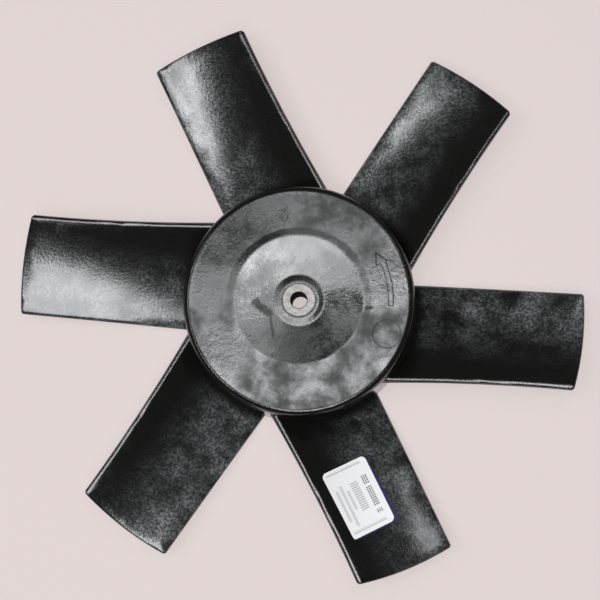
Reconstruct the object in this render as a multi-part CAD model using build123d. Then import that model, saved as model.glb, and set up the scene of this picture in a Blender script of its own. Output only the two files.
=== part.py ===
from build123d import *
import os
from math import atan2, cos, radians, sin

# A radiator fan: a moulded cup hub with twisted blades, a metal bush and a paper label.
# The fan turns about Z and its front face looks up. The origin lies on the axis, in the
# plane of the hub's back rim. All sizes are millimetres and all angles are degrees.

# Fan as a whole
TIP_RADIUS = 140.0
BLADE_COUNT = 6
FIRST_BLADE_ANGLE = -5.3  # long axis of the first blade, from +X
ROUND_FLATS = 3  # flats that stand for a rounded edge

# Hub cup
HUB_DEPTH = 36.0  # back rim to front face
HUB_BACK_RADIUS = 57.6  # outside of the wall at the back rim
HUB_FRONT_RADIUS = 56.6  # outside of the wall at the front face, before rounding
SHOULDER_ROUND = 3.0  # between wall and front face
HUB_WALL = 3.0
FACE_WALL = 3.5

# Dish in the front face, with a low bead around it
DISH_RADIUS = 32.0  # crest of the bead, where the dish begins
DISH_DEPTH = 2.4  # at the foot of the boss
BEAD_WIDTH = 3.5
BEAD_HEIGHT = 0.5

# Sunk disc that the ejector pin leaves in the front face
EJECTOR_MARK_RADIUS = 6.9
EJECTOR_MARK_DEPTH = 0.3
EJECTOR_MARK_PLACE = 46.0  # from the fan axis
EJECTOR_MARK_ANGLE = -21.8

# Boss around the bush, in front and behind
BOSS_TOP_RADIUS = 9.6
BOSS_FOOT_RADIUS = 12.6
BOSS_SETBACK = 1.7  # boss front below the hub face
BOSS_ROUND = 2.5  # at the front and at the foot
BOSS_BACK_RADIUS = 12.5
BOSS_BACK_REACH = 1.0  # boss behind the bush's back end

# Ribs inside the cup, one behind each blade
RIB_THICKNESS = 2.6
RIB_HEIGHT = 9.0  # at the hub wall, below the roof of the cup
RIB_RISE = 2.0  # from the boss's back end to the rib

# Metal bush
BUSH_RADIUS = 8.0
BUSH_LENGTH = 20.0
BUSH_RECESS = 0.3  # bush front below the boss front
BORE_RADIUS = 4.0
BORE_CHAMFER = 0.4

# Blade: chord and pitch join the centres of the two rounded edges
BLADE_THICKNESS = 3.2
ROOT_CHORD = 53.3
TIP_CHORD = 47.3
CHORD_WAIST = 1.4  # chord lost half way along the blade
ROOT_PITCH = 25.6
TIP_PITCH = 14.4
ROOT_CAMBER = 3.2  # sag of the hollow front
TIP_CAMBER = 1.6
ROOT_LEAD = 14.7  # leading edge ahead of the blade's long axis
TIP_LEAD = 15.5
ROOT_DROP = 9.9  # trailing edge below the hub face
TIP_DROP = 7.0
TIP_CHAMFER = 0.8
BLADE_EMBED = 20.0  # blade carried on inside the hub's outside radius
BLADE_SPARE = 10.0  # blade carried on past the tip before it is trimmed

# Label on one blade
LABEL_BLADE = 5  # which blade, counted from the first against the clock
LABEL_LENGTH = 35.8
LABEL_WIDTH = 26.0
LABEL_CORNER = 2.5
LABEL_THICKNESS = 0.15
LABEL_GLUE = 0.1  # film of adhesive under the paper
LABEL_PLACE = 99.0  # from the fan axis along the blade
LABEL_OFFSET = -13.9  # across the blade, from its long axis
LABEL_TURN = 1.4

BLADE_STEP = 360.0 / BLADE_COUNT
BOSS_FRONT = HUB_DEPTH - BOSS_SETBACK
BUSH_FRONT = BOSS_FRONT - BUSH_RECESS
BUSH_BACK = BUSH_FRONT - BUSH_LENGTH
BOSS_BACK = BUSH_BACK - BOSS_BACK_REACH
ROOF = HUB_DEPTH - FACE_WALL
DISH_FLOOR = HUB_DEPTH - DISH_DEPTH


def in_flats(arc):
    """Points along an arc that draw it as a few flats."""
    return [arc @ (step / ROUND_FLATS) for step in range(ROUND_FLATS + 1)]


def turned(corners):
    """Solid turned about Z from a closed profile of ((radius, height), rounding) corners."""
    points, rounds = zip(*corners)
    outline = []
    for edge in FilletPolyline(*points, radius=rounds, close=True).edges():
        if edge.geom_type == GeomType.CIRCLE:
            outline.append(Polyline(*in_flats(edge)))
        else:
            outline.append(edge)
    return revolve(Plane.XZ * make_face(outline), Axis.Z)


def hub_outside():
    """The hub as a full plug: drafted wall, shoulder, bead, dish and front boss."""
    return turned(
        [
            ((0, 0), 0),
            ((HUB_BACK_RADIUS, 0), 0),
            ((HUB_FRONT_RADIUS, HUB_DEPTH), SHOULDER_ROUND),
            ((DISH_RADIUS + BEAD_WIDTH, HUB_DEPTH), 0),
            ((DISH_RADIUS, HUB_DEPTH + BEAD_HEIGHT), 0),
            ((BOSS_FOOT_RADIUS, DISH_FLOOR), BOSS_ROUND),
            ((BOSS_TOP_RADIUS, BOSS_FRONT), BOSS_ROUND),
            ((0, BOSS_FRONT), 0),
        ]
    )


def hub_hollow():
    """The space inside the cup, which leaves the wall, the roof and the back boss."""
    mouth = HUB_BACK_RADIUS - HUB_WALL
    return turned(
        [
            ((0, -HUB_DEPTH), 0),
            ((mouth, -HUB_DEPTH), 0),
            ((mouth, 0), 0),
            ((HUB_FRONT_RADIUS - HUB_WALL, ROOF), 0),
            ((DISH_RADIUS, ROOF), 0),
            ((BOSS_BACK_RADIUS, DISH_FLOOR - FACE_WALL), 0),
            ((BOSS_BACK_RADIUS, BOSS_BACK), 0),
            ((0, BOSS_BACK), 0),
        ]
    )


def rib():
    """One rib along +X, let half a wall deep into boss, roof and hub wall."""
    bite = HUB_WALL / 2
    inner = BOSS_BACK_RADIUS - bite
    outer = HUB_FRONT_RADIUS - HUB_WALL + bite
    outline = Polyline(
        (inner, BOSS_BACK + RIB_RISE),
        (outer, ROOF - RIB_HEIGHT),
        (outer, ROOF + bite),
        (DISH_RADIUS, ROOF + bite),
        (inner, DISH_FLOOR - FACE_WALL + bite),
        close=True,
    )
    return extrude(Plane.XZ * make_face(outline), RIB_THICKNESS / 2, both=True)


def along(root_value, tip_value, station):
    """A value that runs straight from the hub wall to the blade tip."""
    share = (station - HUB_BACK_RADIUS) / (TIP_RADIUS - HUB_BACK_RADIUS)
    return root_value + (tip_value - root_value) * share


def blade_edges(station):
    """Centres of the rounded leading and trailing edges, as (across, height)."""
    share = along(0, 1, station)
    chord = along(ROOT_CHORD, TIP_CHORD, station) - 4 * CHORD_WAIST * share * (1 - share)
    pitch = radians(along(ROOT_PITCH, TIP_PITCH, station))
    lead = along(ROOT_LEAD, TIP_LEAD, station)
    trail_height = HUB_DEPTH - along(ROOT_DROP, TIP_DROP, station)
    leading = Vector(lead, trail_height - chord * sin(pitch))
    trailing = Vector(lead - chord * cos(pitch), trail_height)
    return leading, trailing


def blade_section(station, front, back):
    """Cambered strip across the blade at one station, with rounded edges.

    The strip reaches from front above the mean line to back below it.
    """
    leading, trailing = blade_edges(station)
    camber = along(ROOT_CAMBER, TIP_CAMBER, station)
    middle = (leading + trailing) / 2
    half_chord = (leading - trailing).length / 2
    bend = (half_chord**2 + camber**2) / (2 * camber)
    up = Vector(trailing.Y - leading.Y, leading.X - trailing.X).normalized()
    centre = middle + up * (bend - camber)
    depth = bend + (back - front) / 2
    round_radius = (front + back) / 2

    def rounded(edge):
        spoke = (edge - centre).normalized()
        outward = (edge - middle) - spoke * (edge - middle).dot(spoke)
        place = centre + spoke * depth
        arc = ThreePointArc(
            place - spoke * round_radius,
            place + outward.normalized() * round_radius,
            place + spoke * round_radius,
        )
        return in_flats(arc)

    nose = rounded(leading)
    tail = rounded(trailing)
    strip = make_face(
        [
            ThreePointArc(tail[0], centre - up * (depth - round_radius), nose[0]),
            Polyline(*nose),
            ThreePointArc(nose[-1], centre - up * (depth + round_radius), tail[-1]),
            Polyline(*reversed(tail)),
        ]
    )
    return Plane((station, 0, 0), x_dir=(0, 1, 0), z_dir=(1, 0, 0)) * strip


def blade_loft(front, back):
    """Twisted strip along +X, from inside the hub to past the tip."""
    start = HUB_BACK_RADIUS - BLADE_EMBED
    end = TIP_RADIUS + BLADE_SPARE
    stations = [start, (start + end) / 2, end]
    return loft([blade_section(station, front, back) for station in stations])


def blade():
    """One blade along +X, trimmed to the tip circle, with its tip edges eased."""
    long_blade = blade_loft(BLADE_THICKNESS / 2, BLADE_THICKNESS / 2)
    trimmed = long_blade & Cylinder(TIP_RADIUS, 4 * HUB_DEPTH)
    tip = trimmed.faces().filter_by(GeomType.CYLINDER).sort_by(Axis.X)[-1]
    return chamfer(tip.edges(), TIP_CHAMFER)


def blade_turn(index):
    """Rotation that carries a blade or its rib from +X to its place."""
    return Rot(0, 0, FIRST_BLADE_ANGLE + index * BLADE_STEP)


def ejector_mark():
    """Shallow disc to sink into the hub's face."""
    place = Rot(0, 0, EJECTOR_MARK_ANGLE) * Pos(EJECTOR_MARK_PLACE, 0, HUB_DEPTH)
    return place * Cylinder(EJECTOR_MARK_RADIUS, 2 * EJECTOR_MARK_DEPTH)


def fan_moulding():
    """Hub, blades, ribs and the seat of the bush, in one moulding."""
    one_blade = blade()
    blades = [blade_turn(index) * one_blade for index in range(BLADE_COUNT)]
    shell = hub_outside().fuse(*blades) - hub_hollow()
    ribs = [blade_turn(index) * rib() for index in range(BLADE_COUNT)]
    seat = Cylinder(BUSH_RADIUS, 4 * HUB_DEPTH)
    return shell.fuse(*ribs) - seat - ejector_mark()


def shaft_insert():
    """Plain bush with a chamfered bore."""
    place = Pos(0, 0, (BUSH_FRONT + BUSH_BACK) / 2)
    bush = place * (Cylinder(BUSH_RADIUS, BUSH_LENGTH) - Cylinder(BORE_RADIUS, BUSH_LENGTH))
    bore_rims = bush.edges().filter_by(GeomType.CIRCLE).sort_by(SortBy.RADIUS)[:2]
    return chamfer(bore_rims, BORE_CHAMFER)


def paper_label():
    """Thin rounded rectangle that follows the front of one blade."""
    leading, trailing = blade_edges(LABEL_PLACE)
    fall = atan2(trailing.Y - leading.Y, leading.X - trailing.X)
    place = (LABEL_PLACE, LABEL_OFFSET, (leading.Y + trailing.Y) / 2)
    base = Plane(place, x_dir=(1, 0, 0), z_dir=(0, sin(fall), cos(fall)))
    outline = Rot(0, 0, LABEL_TURN) * RectangleRounded(LABEL_LENGTH, LABEL_WIDTH, LABEL_CORNER)
    column = extrude(base * outline, HUB_DEPTH, both=True)
    underside = BLADE_THICKNESS / 2 + LABEL_GLUE
    sheet = blade_loft(underside + LABEL_THICKNESS, -underside)
    return blade_turn(LABEL_BLADE) * (sheet & column)


nodes = {
    "fan_moulding": fan_moulding(),
    "shaft_insert": shaft_insert(),
    "paper_label": paper_label(),
}
os.makedirs("parts", exist_ok=True)
for name, solid in nodes.items():
    export_step(solid, f"parts/{name}.step")
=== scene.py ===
from math import cos, pi, radians, sin

import bmesh
import bpy
from mathutils import Euler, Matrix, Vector


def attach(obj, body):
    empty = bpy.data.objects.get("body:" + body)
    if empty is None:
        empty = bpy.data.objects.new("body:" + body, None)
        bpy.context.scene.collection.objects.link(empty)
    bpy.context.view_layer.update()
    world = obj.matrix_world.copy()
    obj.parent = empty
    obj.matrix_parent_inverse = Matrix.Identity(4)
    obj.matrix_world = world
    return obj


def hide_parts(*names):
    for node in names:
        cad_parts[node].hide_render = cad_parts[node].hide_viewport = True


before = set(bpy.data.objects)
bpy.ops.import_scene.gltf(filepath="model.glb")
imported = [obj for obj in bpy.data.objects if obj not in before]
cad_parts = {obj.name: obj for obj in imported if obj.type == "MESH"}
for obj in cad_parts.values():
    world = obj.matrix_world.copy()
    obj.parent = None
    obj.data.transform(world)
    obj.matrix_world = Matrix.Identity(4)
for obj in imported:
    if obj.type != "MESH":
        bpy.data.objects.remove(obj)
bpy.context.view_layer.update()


# Fan moulding
# Hub cup, inner ribs and six twisted blades, injection moulded in one shot of black plastic.
# The satin skin has a fine grain and a pale, cloudy bloom, with pitted and rubbed places on the hub. The
# same pale colour also holds painted highlights, painted sheen, and painted light and shade.
# Its mesh is a merged copy of the solid's, with the flats of the rounded edges shaded as curves.

FIRST_BLADE = radians(-5.3)
BLADE_PITCH = radians(60.0)
BLADE_SHARE = 0.7  # radians before a blade's axis where its share of the circle begins
LEADING_BLOOM_AND_SHEEN = (-0.024, 0.008)  # across a blade: the bloom and its painted sheen grow from here to here
HUB_RADIUS = 0.0566
HUB_FACE = 0.036
FACE_EDGE = 0.0536  # where the hub's flat face ends and its shoulder begins
FACE_LOWEST = 0.028  # no part of the front face lies lower
DISH_RADIUS = 0.032  # crest of the bead around the dish
PLASTIC_BLACK = (0.0045, 0.0048, 0.0042, 1.0)
PLASTIC_BLOOM_AND_SHEEN = (0.165, 0.172, 0.175, 1.0)
PLASTIC_IOR = 1.75
SATIN = 0.11  # roughness of the clean skin
EDGE_ROUND = 0.0012
RELIEF_DEPTH = 0.001
SWELL_SCALE = 45.0  # noise scales, per metre
CLOUD_SCALE = 74.0
RAGGED_SCALE = 330.0
DENT_SCALE = 480.0
GRAIN_SCALE = 800.0
STREAKS_AROUND = 9.0  # flow marks in the dish, per radian and per metre
STREAKS_OUTWARD = 140.0
SCUFF_ENDS = ((-0.0212, -0.0009), (-0.0146, -0.0066))  # a rubbed, dark patch in the dish
SCUFF_WIDTH = 0.0036
SCRATCH_ENDS = ((-0.0139, -0.0072), (-0.0124, -0.0180))  # its thin tail
SCRATCH_WIDTH = 0.0012
NICK_ENDS = ((0.0335, -0.0044), (0.0349, -0.0040))  # a small knock in the bead
NICK_WIDTH = 0.0022
# Beside real rubbing and pits, these spots paint light and shade on the hub's face: less bloom at the upper
# left, more at the lower left and right.
RUBBED_AND_SHADED_SPOT = (-0.0310, 0.0290, 0.044)  # place and radius on the hub's face
PITTED_AND_LIT_SPOTS = ((-0.0370, -0.0260, 0.021), (0.0440, 0.0100, 0.019))


class Field:
    """A socket in a material. Python's operators on it add Math nodes."""

    def __init__(self, tree, socket=None):
        self.tree = tree
        self.socket = socket

    def node(self, kind, settings, sockets, output=0):
        """Adds a node, with its settings set before its sockets are filled or linked."""
        node = self.tree.nodes.new("ShaderNode" + kind)
        for name, value in settings.items():
            setattr(node, name, value)
        for name, value in sockets.items():
            if isinstance(value, Field):
                self.tree.links.new(value.socket, node.inputs[name])
            else:
                node.inputs[name].default_value = value
        return Field(self.tree, node.outputs[output])

    def also(self, output):
        """Another output of the node that this field comes from."""
        return Field(self.tree, self.socket.node.outputs[output])

    def maths(self, operation, first, second=0.0):
        return self.node("Math", {"operation": operation}, {0: first, 1: second})

    def __add__(self, other):
        return self.maths("ADD", self, other)

    def __sub__(self, other):
        return self.maths("SUBTRACT", self, other)

    def __rsub__(self, other):
        return self.maths("SUBTRACT", other, self)

    def __mul__(self, other):
        return self.maths("MULTIPLY", self, other)

    def __mod__(self, other):
        return self.maths("FLOORED_MODULO", self, other)

    __radd__ = __add__
    __rmul__ = __mul__

    def ramp(self, low, high):
        """0 at low and 1 at high, with soft ends. Low may be the larger."""
        sockets = {"Value": self, "From Min": low, "From Max": high}
        return self.node("MapRange", {"interpolation_type": "SMOOTHSTEP"}, sockets)

    def noise(self, place, scale, detail=2.0, roughness=0.5):
        sockets = {"Vector": place, "Scale": scale, "Detail": detail, "Roughness": roughness}
        return self.node("TexNoise", {}, sockets)

    def mix(self, first, second):
        """One colour where this field is 0, the other where it is 1."""
        return self.node("Mix", {"data_type": "RGBA"}, {0: self, 6: first, 7: second}, 2)

    def feed(self, shader, socket):
        self.tree.links.new(self.socket, shader.inputs[socket])


def new_finish(name):
    """A new material, its Principled shader and a field to start from."""
    material = bpy.data.materials.new(name)
    material.use_nodes = True
    tree = material.node_tree
    return material, tree.nodes["Principled BSDF"], Field(tree)


def plan_of(start):
    """Object coordinates, and the distance and angle about the fan's axis."""
    place = start.node("TexCoord", {}, {}, "Object")
    x = start.node("SeparateXYZ", {}, {0: place}, "X")
    y = x.also("Y")
    radius = start.maths("SQRT", x * x + y * y)
    angle = start.maths("ARCTAN2", y, x)
    return place, x, y, radius, angle


def patch(x, y, start, ends, width, ragged):
    """1 within a ragged stroke between two points, 0 outside."""
    (x0, y0), (x1, y1) = ends
    run_x, run_y = x1 - x0, y1 - y0
    share = ((x - x0) * run_x + (y - y0) * run_y) * (1 / (run_x**2 + run_y**2))
    share = start.node("Clamp", {}, {"Value": share})
    off_x = x - x0 - share * run_x
    off_y = y - y0 - share * run_y
    off = start.maths("SQRT", off_x * off_x + off_y * off_y) + (ragged - 0.5) * (1.6 * width)
    return off.ramp(0.6 * width, 0.35 * width)


def spot(x, y, start, place, core):
    """1 in the core of a round spot, 0 beyond its radius."""
    centre_x, centre_y, reach = place
    off_x = x - centre_x
    off_y = y - centre_y
    off = start.maths("SQRT", off_x * off_x + off_y * off_y)
    return off.ramp(reach, core * reach)


def black_plastic():
    material, shader, start = new_finish("bloomed_black_plastic_painted_sheen")
    place, x, y, radius, angle = plan_of(start)
    height = x.also("Z")
    facing = start.node("NewGeometry", {}, {}, "Normal")
    upward = start.node("SeparateXYZ", {}, {0: facing}, "Z")
    front = upward.ramp(0.15, 0.6)

    hub = front * radius.ramp(FACE_EDGE + 0.0005, FACE_EDGE - 0.0003)
    hub = hub * height.ramp(FACE_LOWEST - 0.004, FACE_LOWEST)
    # Painted highlights: the thin rings just inside the face's edge and on the bead's crest get extra pale
    # colour for the lines of light that their curves catch.
    rim_highlight = hub * radius.ramp(FACE_EDGE - 0.0026, FACE_EDGE - 0.0012)
    dish = hub * radius.ramp(DISH_RADIUS, DISH_RADIUS - 0.001)
    ring = hub * (1 - dish)
    crest_highlight = hub * radius.ramp(DISH_RADIUS - 0.0009, DISH_RADIUS)
    crest_highlight = crest_highlight * radius.ramp(DISH_RADIUS + 0.0012, DISH_RADIUS)
    wall = radius.ramp(FACE_EDGE + 0.0002, FACE_EDGE + 0.0010)
    wall = wall * radius.ramp(HUB_RADIUS + 0.0016, HUB_RADIUS + 0.0006)
    blades = (1 - hub) * front * radius.ramp(HUB_RADIUS + 0.0010, HUB_RADIUS + 0.0070)
    from_axis = (angle - (FIRST_BLADE - BLADE_SHARE)) % BLADE_PITCH - BLADE_SHARE
    across = radius * start.maths("SINE", from_axis)
    # The blades' leading halves get extra bloom: partly cloudy haze, partly painted sheen for the light
    # that their faces catch.
    leading_bloom_and_sheen = across.ramp(*LEADING_BLOOM_AND_SHEEN)

    swell = start.noise(place, SWELL_SCALE, 1.0)
    clouds = start.noise(place, CLOUD_SCALE, 6.0, 0.62).ramp(0.34, 0.70)
    grain = start.noise(place, GRAIN_SCALE, 2.0, 0.55)
    specks = grain.ramp(0.34, 0.72)
    dents = start.noise(place, DENT_SCALE, 3.0, 0.6)
    rubbed_and_shaded = ring * spot(x, y, start, RUBBED_AND_SHADED_SPOT, 0.2)
    pitted_and_lit = 0.0
    for pitted_and_lit_spot in PITTED_AND_LIT_SPOTS:
        pitted_and_lit = pitted_and_lit + spot(x, y, start, pitted_and_lit_spot, 0.3)
    flow = start.node("CombineXYZ", {}, {"X": angle * STREAKS_AROUND, "Y": radius * STREAKS_OUTWARD})
    streaks = start.noise(flow, 1.0, 3.0, 0.6)
    ragged = start.noise(place, RAGGED_SCALE, 4.0, 0.7)
    worn = patch(x, y, start, SCUFF_ENDS, SCUFF_WIDTH, ragged)
    worn = start.maths("MAXIMUM", worn, patch(x, y, start, SCRATCH_ENDS, SCRATCH_WIDTH, ragged))
    worn = start.maths("MAXIMUM", worn, patch(x, y, start, NICK_ENDS, NICK_WIDTH, ragged))

    # The bloom is cloudy and specked. It is thickest on the pitted spots and the leading halves, where it
    # is partly painted light and sheen, and it thins on the rubbed spot as painted shade.
    bloom = clouds * (specks * 0.8 + 0.2) * (1 - worn)
    # Painted light and shade: the pitted spots at the lower left and right get more bloom, and the rubbed
    # spot at the upper left gets less.
    ring_bloom_and_painted_light = ring * (pitted_and_lit * 0.9 + 0.4) * (1 - rubbed_and_shaded * 0.95)
    bloom_and_painted_light = bloom * (ring_bloom_and_painted_light + dish * 0.12 + (rim_highlight + crest_highlight) * 0.5 + blades * leading_bloom_and_sheen * 1.1)
    bloom_and_painted_light.mix(PLASTIC_BLACK, PLASTIC_BLOOM_AND_SHEEN).feed(shader, "Base Color")

    # The face is dull between the clouds, and glossier where it is pitted or rubbed.
    dulled = (1 - clouds) * (ring * 0.36 + dish * 0.14 + 0.06)
    dulled = dulled * (1 - rubbed_and_shaded * 0.8) * (1 - pitted_and_lit * 0.75) + worn * 0.35
    matte = ring * 0.12 - wall * 0.05 - rubbed_and_shaded * 0.08
    (dulled + specks * 0.06 + matte + SATIN).feed(shader, "Roughness")
    shader.inputs["IOR"].default_value = PLASTIC_IOR

    rounded = start.node("Bevel", {"samples": 6}, {"Radius": EDGE_ROUND})
    pits = grain * 0.045 + dents * hub * pitted_and_lit * 0.4
    relief = swell * (hub * 0.3 + 0.1) + pits + streaks * dish * 0.06
    bumped = {"Strength": 1.0, "Distance": RELIEF_DEPTH, "Height": relief, "Normal": rounded}
    start.node("Bump", {}, bumped).feed(shader, "Normal")
    return material


ROUND_BEYOND = 0.045  # from the axis: the hub's shoulder and the blades
ROUND_ANGLE = radians(63.0)  # widest turn from one flat of a rounded edge to the next
SAME_FACE_ANGLE = radians(6.0)
MERGE_DISTANCE = 1e-6


def rounded_copy(solid):
    """The solid's mesh, merged, with the flats of its rounded edges shaded as one curve."""
    source = solid.data
    meeting = {}
    for face in source.polygons:
        for corner in face.loop_indices:
            spot = source.vertices[source.loops[corner].vertex_index].co.to_tuple(6)
            normal = source.corner_normals[corner].vector.copy()
            meeting.setdefault(spot, []).append((normal, face.area))

    shape = bmesh.new()
    shape.from_mesh(source)
    bmesh.ops.remove_doubles(shape, verts=shape.verts, dist=MERGE_DISTANCE)
    mesh = bpy.data.meshes.new("fan_body")
    shape.to_mesh(mesh)
    shape.free()

    normals = []
    for face in mesh.polygons:
        for vertex in face.vertices:
            place = mesh.vertices[vertex].co
            widest = ROUND_ANGLE if place.xy.length > ROUND_BEYOND else SAME_FACE_ANGLE
            total = face.normal * 1e-12
            for normal, area in meeting[place.to_tuple(6)]:
                if normal.angle(face.normal) < widest:
                    total = total + normal * area
            normals.append(total.normalized())
    mesh.shade_smooth()
    mesh.normals_split_custom_set(normals)
    return mesh


plastic = black_plastic()
body = bpy.data.objects.new("fan_body", rounded_copy(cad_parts["fan_moulding"]))
bpy.context.scene.collection.objects.link(body)
body.data.materials.append(plastic)
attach(body, "root")
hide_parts("fan_moulding")


# Arrow on the hub's face
# A flat raised arrow that shows which way the fan turns, moulded with the hub in the same plastic.
# Its sides slope, so from the front it reads as a thin dark outline.

ARROW_SHAFT = (0.0434, 0.0463)  # inner and outer radius of the curved shaft
ARROW_TAIL = radians(-4.6)
ARROW_NECK = radians(23.2)
ARROW_BARBS = (0.0409, 0.0476)  # radius of the inner and outer barb
ARROW_POINT = (0.0440, radians(31.9))
ARROW_RISE = 0.00035
ARROW_SINK = 0.0002
ARROW_STEPS = 14


def polar(radius, angle, height):
    return Vector((radius * cos(angle), radius * sin(angle), height))


def direction_arrow():
    shape = bmesh.new()
    base = HUB_FACE - ARROW_SINK
    inner, outer = ARROW_SHAFT
    foot = shape.edges.new(
        [shape.verts.new(polar(inner, ARROW_TAIL, base)), shape.verts.new(polar(outer, ARROW_TAIL, base))]
    )
    swept = bmesh.ops.spin(
        shape, geom=[foot], axis=(0, 0, 1), cent=(0, 0, 0), angle=ARROW_NECK - ARROW_TAIL, steps=ARROW_STEPS
    )
    neck = [v for v in swept["geom_last"] if isinstance(v, bmesh.types.BMVert)]
    neck.sort(key=lambda v: v.co.xy.length)
    barbs = [shape.verts.new(polar(radius, ARROW_NECK, base)) for radius in ARROW_BARBS]
    point = shape.verts.new(polar(*ARROW_POINT, base))
    shape.faces.new([barbs[0], neck[0], neck[1], barbs[1], point])
    bmesh.ops.recalc_face_normals(shape, faces=shape.faces)
    raised = bmesh.ops.extrude_face_region(shape, geom=list(shape.faces))
    top = [v for v in raised["geom"] if isinstance(v, bmesh.types.BMVert)]
    bmesh.ops.translate(shape, verts=top, vec=(0, 0, ARROW_RISE + ARROW_SINK))
    top_edges = []
    for edge in shape.edges:
        upright = [f for f in edge.link_faces if abs(f.normal.z) < 0.5]
        if upright and all(v in top for v in edge.verts):
            top_edges.append(edge)
    bmesh.ops.bevel(
        shape, geom=top_edges, offset=ARROW_RISE, affect="EDGES", segments=2, profile=0.5, material=-1
    )
    bmesh.ops.recalc_face_normals(shape, faces=shape.faces)
    mesh = bpy.data.meshes.new("direction_arrow")
    shape.to_mesh(mesh)
    shape.free()
    return mesh


arrow = bpy.data.objects.new("direction_arrow", direction_arrow())
bpy.context.scene.collection.objects.link(arrow)
arrow.data.materials.append(plastic)
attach(arrow, "root")


# Shaft insert
# A turned metal bush that the hub is moulded around, with a plain round bore for the motor shaft.
# Its end shows the fine circles that the lathe tool left.

BUSH_METAL = (0.40, 0.385, 0.365, 1.0)
BUSH_DULL = (0.22, 0.208, 0.195, 1.0)
BORE_PAINTED_SHADE = (0.012, 0.011, 0.010, 1.0)
BORE_RADIUS = 0.004
TOOL_LINE_STEP = 0.0011


def turned_metal():
    material, shader, start = new_finish("turned_bush_metal")
    place, x, y, radius, angle = plan_of(start)
    wobble = start.noise(place, 160.0, 3.0)
    rings = start.maths("SINE", radius * (2 * pi / TOOL_LINE_STEP) + wobble * 5.0) * 0.5 + 0.5
    tarnish = start.noise(place, 420.0, 4.0, 0.6).ramp(0.40, 0.72)
    skin = (tarnish * 0.35 + rings * 0.3).mix(BUSH_METAL, BUSH_DULL)
    # Painted shade: within the bore's radius the metal is painted near black for the shade in the hole.
    bore_shade = radius.ramp(BORE_RADIUS + 0.0002, BORE_RADIUS + 0.0001)
    bore_shade.mix(skin, BORE_PAINTED_SHADE).feed(shader, "Base Color")
    (rings * 0.10 + tarnish * 0.12 + bore_shade * 0.4 + 0.52).feed(shader, "Roughness")
    rounded = start.node("Bevel", {"samples": 6}, {"Radius": 0.0003})
    bumped = {"Strength": 0.3, "Distance": 0.00002, "Height": rings, "Normal": rounded}
    start.node("Bump", {}, bumped).feed(shader, "Normal")
    shader.inputs["Metallic"].default_value = 0.5
    return material


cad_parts["shaft_insert"].material_slots[0].material = turned_metal()


# Paper label
# A small white coated-paper label, stuck to the front of one blade, with rounded corners.
# Its print is only even dots and plain bars, and a dark blue painted shadow follows two of its sides.

LABEL_TURN = radians(296.1)  # its long side, from +X
LABEL_CENTRE = (0.0986, -0.0163)  # along and across that turn
PAPER_LOW = (-0.0180, -0.0140)  # the white ends here, from the label's centre
PAPER_HIGH = (0.0172, 0.0113)
PAPER_CORNER = 0.0025
PAPER_WHITE = (0.92, 0.925, 0.93, 1.0)
PRINT_BLACK = (0.012, 0.012, 0.014, 1.0)
PRINT_GREY = (0.30, 0.30, 0.31, 1.0)
EDGE_SHADOW_BLUE = (0.016, 0.012, 0.075, 1.0)
PRINT_SOFT = 0.0002  # half the width of a printed edge
BOLD_RUNS = ((-0.0095, -0.0045), (-0.0033, 0.0070), (0.0086, 0.0107))  # along
BOLD_ROW = (0.0050, 0.0081)  # across
BOLD_DOTS = (0.00115, 0.00102)  # steps along and across
BARS_RUN = (-0.0080, 0.0066)
BARS_ROW = (-0.0012, 0.0027)
BARS_STEP = 0.00115
FINE_ROWS = (  # along and across
    ((-0.0056, 0.0047), (-0.0040, -0.0026)),
    ((-0.0090, 0.0122), (-0.0066, -0.0052)),
    ((-0.0074, 0.0088), (-0.0092, -0.0078)),
    ((-0.0165, -0.0151), (-0.0100, 0.0080)),
    ((0.0139, 0.0151), (-0.0095, 0.0080)),
)
FINE_DOTS = (0.0009, 0.0007)


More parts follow.
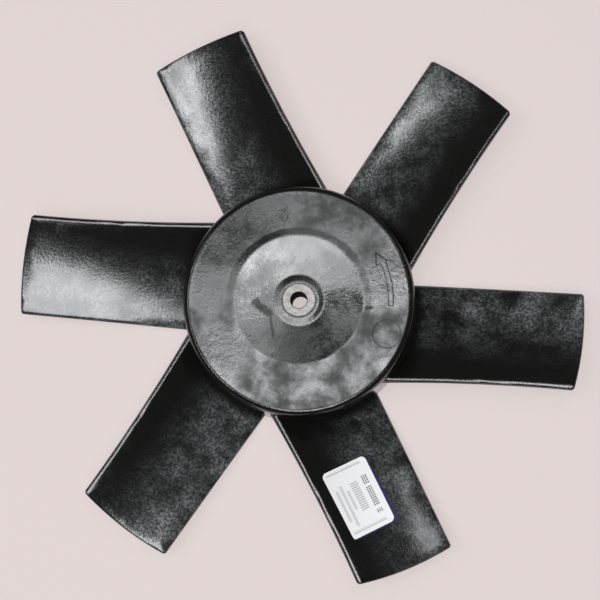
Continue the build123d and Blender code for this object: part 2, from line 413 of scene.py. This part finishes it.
def printed_paper():
    material, shader, start = new_finish("white_label_paper")
    place, x, y, radius, angle = plan_of(start)
    along = x * cos(LABEL_TURN) + y * sin(LABEL_TURN) - LABEL_CENTRE[0]
    across = y * cos(LABEL_TURN) - x * sin(LABEL_TURN) - LABEL_CENTRE[1]

    def band(value, ends):
        low, high = ends
        inside = value.ramp(low - PRINT_SOFT, low + PRINT_SOFT)
        return inside * value.ramp(high + PRINT_SOFT, high - PRINT_SOFT)

    def dots(step_along, step_across):
        """Small printed dots in an even grid."""
        wide = start.maths("ABSOLUTE", start.maths("SINE", along * (pi / step_along)))
        tall = start.maths("ABSOLUTE", start.maths("SINE", across * (pi / step_across)))
        return wide.ramp(0.3, 0.8) * tall.ramp(0.3, 0.8)

    def past(value, low, high):
        """How far a value lies outside its range, less the corner's radius."""
        middle, half = (low + high) / 2, (high - low) / 2
        off = start.maths("ABSOLUTE", value - middle) - (half - PAPER_CORNER)
        return start.maths("MAXIMUM", off, 0.0)

    bold = 0.0
    for run in BOLD_RUNS:
        bold = bold + band(along, run)
    bold = bold * band(across, BOLD_ROW) * dots(*BOLD_DOTS)
    bars = start.maths("SINE", along * (2 * pi / BARS_STEP)).ramp(-0.4, 0.5)
    bars = bars * band(across, BARS_ROW) * band(along, BARS_RUN)
    rows = 0.0
    for run, row in FINE_ROWS:
        rows = rows + band(along, run) * band(across, row)
    fine = rows * dots(*FINE_DOTS)
    fibres = start.noise(place, 1400.0, 3.0)
    paper = (fibres * 0.04).mix(PAPER_WHITE, PRINT_GREY)
    paper = (fine + bars * 0.75).mix(paper, PRINT_GREY)
    paper = bold.mix(paper, PRINT_BLACK)
    # Beyond the white's rounded outline the label is painted dark blue: a painted edge shadow along two of
    # its sides.
    past_along = past(along, PAPER_LOW[0], PAPER_HIGH[0])
    past_across = past(across, PAPER_LOW[1], PAPER_HIGH[1])
    corner = start.maths("SQRT", past_along * past_along + past_across * past_across)
    edge = corner.ramp(PAPER_CORNER - 0.0001, PAPER_CORNER + 0.0001)
    edge.mix(paper, EDGE_SHADOW_BLUE).feed(shader, "Base Color")
    (fibres * 0.1 + 0.42).feed(shader, "Roughness")
    bumped = {"Strength": 0.1, "Distance": 0.00002, "Height": fibres}
    start.node("Bump", {}, bumped).feed(shader, "Normal")
    return material


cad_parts["paper_label"].material_slots[0].material = printed_paper()


# Studio
# A plain pale floor under the fan's back rim, and five soft boxes that hang level over it.
# The camera looks down on the fan from the photograph's side.

FLOOR_COLOUR = (0.753, 0.672, 0.658, 1.0)
FLOOR_SIZE = 4.0
FLOOR_GLOW = 0.75  # share of the floor's pale colour that needs no lamp
ROOM_COLOUR = (1.0, 0.98, 0.97, 1.0)
ROOM_LIGHT = 0.05


def pale_floor():
    shape = bmesh.new()
    bmesh.ops.create_grid(shape, x_segments=1, y_segments=1, size=FLOOR_SIZE / 2)
    mesh = bpy.data.meshes.new("floor")
    shape.to_mesh(mesh)
    shape.free()
    material, shader, start = new_finish("pale_floor")
    shader.inputs["Base Color"].default_value = FLOOR_COLOUR
    shader.inputs["Roughness"].default_value = 1.0
    shader.inputs["Specular IOR Level"].default_value = 0.0
    ray = start.node("LightPath", {}, {}, "Is Camera Ray")
    seen = start.maths("MAXIMUM", ray, ray.also("Is Glossy Ray"))
    seen = start.maths("MAXIMUM", seen, ray.also("Is Transmission Ray"))
    glow = start.node("Emission", {}, {"Color": FLOOR_COLOUR, "Strength": 1.0})
    lit = Field(start.tree, shader.outputs["BSDF"])
    shown = start.node("MixShader", {}, {0: seen * FLOOR_GLOW, 1: lit, 2: glow})
    shown.feed(start.tree.nodes["Material Output"], "Surface")
    mesh.materials.append(material)
    return mesh


floor = bpy.data.objects.new("floor", pale_floor())
bpy.context.scene.collection.objects.link(floor)

world = bpy.data.worlds.new("pale_room")
bpy.context.scene.world = world
world.use_nodes = True
sky = Field(world.node_tree)
camera_ray = sky.node("LightPath", {}, {}, "Is Camera Ray")
room = sky.node("Background", {}, {"Color": ROOM_COLOUR, "Strength": ROOM_LIGHT})
backdrop = sky.node("Background", {}, {"Color": FLOOR_COLOUR, "Strength": 1.0})
shown = sky.node("MixShader", {}, {0: camera_ray, 1: room, 2: backdrop})
shown.feed(world.node_tree.nodes["World Output"], "Surface")


LAMP_HEIGHT = 1.236
LAMP_COLOUR = (0.975, 0.985, 1.0)


def soft_lamp(name, place, size, power, turn):
    """A soft box that hangs level over the fan and shines straight down."""
    lamp = bpy.data.lights.new(name, "AREA")
    lamp.shape = "RECTANGLE"
    lamp.size, lamp.size_y = size
    lamp.energy = power
    lamp.color = LAMP_COLOUR
    holder = bpy.data.objects.new(name, lamp)
    bpy.context.scene.collection.objects.link(holder)
    holder.location = (*place, LAMP_HEIGHT)
    holder.rotation_euler = (0.0, 0.0, turn)
    holder.visible_camera = False


soft_lamp("lamp_front", (-0.100, -0.289), (0.410, 0.804), 7.0, radians(24.6))
soft_lamp("lamp_right", (0.089, -0.135), (0.196, 0.679), 4.8, radians(-20.0))
soft_lamp("lamp_back", (0.220, 0.370), (0.400, 0.360), 1.3, 0.0)
soft_lamp("lamp_left", (-0.316, -0.095), (0.080, 0.534), 1.6, radians(-36.7))
soft_lamp("lamp_far_left", (-0.565, 0.070), (0.130, 0.760), 3.5, radians(6.3))

CAMERA_DISTANCE = 0.8308  # from the centre of the hub's face
CAMERA_TURN = Euler((0.1279, 0.0502, 0.0))
CAMERA_LENS = 102.5
CAMERA_SENSOR = 36.0
CAMERA_SHIFT = (0.0024, -0.0009)
camera_data = bpy.data.cameras.new("camera")
camera_data.lens = CAMERA_LENS
camera_data.sensor_width = CAMERA_SENSOR
camera_data.shift_x, camera_data.shift_y = CAMERA_SHIFT
camera = bpy.data.objects.new("camera", camera_data)
bpy.context.scene.collection.objects.link(camera)
camera.rotation_euler = CAMERA_TURN
camera.location = Vector((0, 0, HUB_FACE)) + CAMERA_TURN.to_matrix() @ Vector((0, 0, CAMERA_DISTANCE))
bpy.context.scene.camera = camera
bpy.context.scene.view_settings.view_transform = "Standard"
